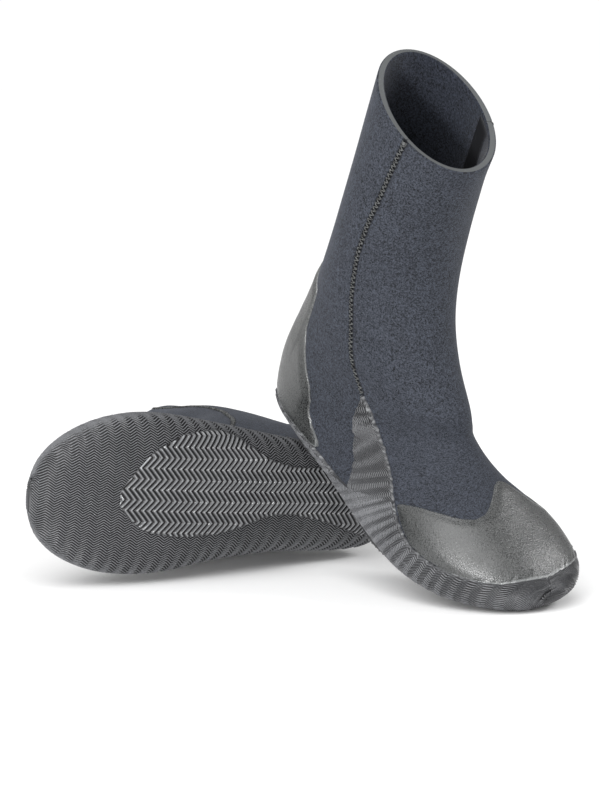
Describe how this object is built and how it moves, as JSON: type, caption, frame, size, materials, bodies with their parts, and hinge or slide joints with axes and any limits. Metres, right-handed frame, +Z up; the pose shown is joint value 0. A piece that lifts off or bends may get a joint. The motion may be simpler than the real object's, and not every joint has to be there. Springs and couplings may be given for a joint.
{
  "type": "neoprene boots",
  "caption": "Pair of pull-on neoprene water boots with rubber toe caps, heel counters and chevron-tread outsoles, one lying and one propped on it.",
  "frame": {"origin": "on the floor, under the centre of the pair's box", "axes": "+Z up; -Y is the side that the left boot's sole faces; +X is towards the right boot's toe"},
  "size_m": [0.3594, 0.4295, 0.3527],
  "materials": {
    "neoprene_jersey": "matte",
    "stitching": "satin",
    "seam_tape": "satin",
    "smooth_rubber": "satin",
    "sole_rubber": "satin",
    "tread_rubber": "gloss",
    "board": "matte",
    "eva_foam": "matte"
  },
  "bodies": {
    "left_foot": {"left_vamp": "neoprene_jersey", "left_quarter": "neoprene_jersey", "left_outer_seam_lower": "stitching", "left_inner_seam_lower": "stitching", "left_toe_cap": "smooth_rubber", "left_heel_counter": "smooth_rubber", "left_outsole": "sole_rubber", "left_tread_pad": "tread_rubber", "left_lasting_board": "board", "left_footbed": "eva_foam"},
    "left_shaft": {"left_shaft_front": "neoprene_jersey", "left_shaft_rear": "neoprene_jersey", "left_outer_seam_upper": "stitching", "left_inner_seam_upper": "stitching", "left_outer_tape": "seam_tape", "left_inner_tape": "seam_tape"},
    "right_foot": {"right_vamp": "neoprene_jersey", "right_quarter": "neoprene_jersey", "right_outer_seam_lower": "stitching", "right_inner_seam_lower": "stitching", "right_toe_cap": "smooth_rubber", "right_heel_counter": "smooth_rubber", "right_outsole": "sole_rubber", "right_tread_pad": "tread_rubber", "right_lasting_board": "board", "right_footbed": "eva_foam"},
    "right_shaft": {"right_shaft_front": "neoprene_jersey", "right_shaft_rear": "neoprene_jersey", "right_outer_seam_upper": "stitching", "right_inner_seam_upper": "stitching", "right_outer_tape": "seam_tape", "right_inner_tape": "seam_tape"}
  },
  "joints": [
    {"name": "right_boot_lift", "type": "slide", "parent": "left_foot", "child": "right_foot", "axis": [0, 0, 1], "range_m": [0, 0.3]},
    {"name": "left_ankle_flex", "type": "hinge", "parent": "left_foot", "child": "left_shaft", "pos_m": [-0.06251, 0.08525, 0.04558], "axis": [0.0949, 0.0387, 0.9947], "range_deg": [-20, 20], "stiffness_Nm_per_rad": 3},
    {"name": "right_ankle_flex", "type": "hinge", "parent": "right_foot", "child": "right_shaft", "pos_m": [0.06648, -0.12791, 0.22296], "axis": [0.799, 0.5863, 0.1334], "range_deg": [-20, 20], "stiffness_Nm_per_rad": 3}
  ]
}
